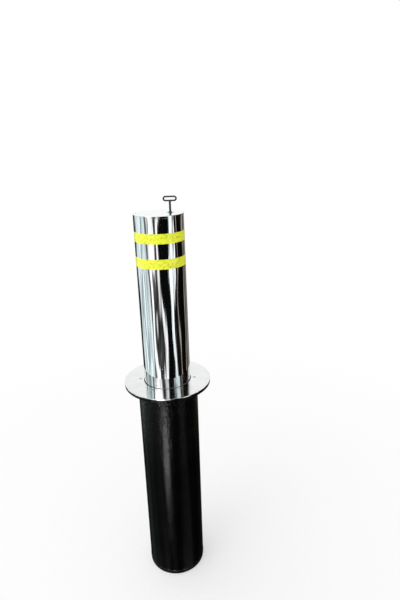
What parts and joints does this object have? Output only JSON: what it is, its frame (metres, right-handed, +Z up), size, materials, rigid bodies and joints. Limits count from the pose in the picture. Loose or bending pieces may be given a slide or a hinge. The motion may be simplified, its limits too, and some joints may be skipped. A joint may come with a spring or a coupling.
{
  "type": "retractable bollard",
  "caption": "Retractable steel bollard: polished post with reflective bands, gas-assisted and key-locked in a black in-ground sleeve with a round floor flange.",
  "frame": {"origin": "centre of the sleeve's base, at its lowest face", "axes": "+Z up along the post; +X from the post's axis to the lock; the key's bow lies in the XZ plane at rest"},
  "size_m": [0.315, 0.315, 1.4925],
  "materials": {
    "polished_stainless": "mirror-polished stainless steel",
    "black_coating": "semi-gloss black powder coating with a fine orange-peel texture",
    "yellow_reflective": "fluorescent yellow-green prismatic reflective film",
    "stainless_fastener": "plain stainless steel",
    "zinc_steel": "zinc-plated steel",
    "hard_chrome": "ground and hard-chromed rod",
    "cylinder_paint": "black painted gas spring cylinder",
    "key_steel": "dark plain steel, worn brighter where it is held",
    "nylon": "natural cast nylon",
    "rubber": "black rubber"
  },
  "bodies": {
    "in_ground_sleeve": {"base_cap": "black_coating", "sleeve_tube": "black_coating", "lock_ring": "black_coating", "guide_bush": "nylon", "wiper_ring": "rubber", "stop_buffers": "rubber", "head_ring": "black_coating", "sleeve_flange": "black_coating", "flange_cover": "polished_stainless", "flange_screws": "stainless_fastener", "lock_keeper": "zinc_steel", "gas_base_bracket": "zinc_steel", "gas_base_pin": "zinc_steel", "bracket_screws": "zinc_steel", "gas_rod_eye": "zinc_steel", "gas_rod": "hard_chrome", "gas_piston": "zinc_steel"},
    "post": {"post_tube": "polished_stainless", "top_cap": "polished_stainless", "cap_screws": "stainless_fastener", "cap_seat_ring": "zinc_steel", "reflective_band_upper": "yellow_reflective", "reflective_band_lower": "yellow_reflective", "lock_bush": "stainless_fastener", "stop_collar": "zinc_steel", "post_guide_ring": "nylon", "lower_bracket": "zinc_steel", "upper_bracket": "zinc_steel", "gas_cylinder": "cylinder_paint", "gas_gland": "zinc_steel", "gas_top_stud": "zinc_steel", "gas_top_nut": "zinc_steel"},
    "lock": {"lock_rod": "zinc_steel", "lock_spindle": "zinc_steel", "spindle_seal": "rubber", "spindle_pin": "zinc_steel", "rod_collar": "zinc_steel", "lock_tongue": "zinc_steel", "tongue_pin": "zinc_steel"},
    "key": {"key_shank": "key_steel", "key_bow": "key_steel"}
  },
  "joints": [
    {"name": "post_slide", "type": "slide", "parent": "in_ground_sleeve", "child": "post", "axis": [0, 0, 1], "range_m": [-0.6, 0], "stiffness_N_per_m": 150, "springref_m": 2},
    {"name": "lock_turn", "type": "hinge", "parent": "post", "child": "lock", "pos_m": [0.04, 0, 0.709], "axis": [0, 0, 1], "range_deg": [0, 90]},
    {"name": "key_lift", "type": "slide", "parent": "lock", "child": "key", "axis": [0, 0, 1], "range_m": [0, 0.06]}
  ]
}
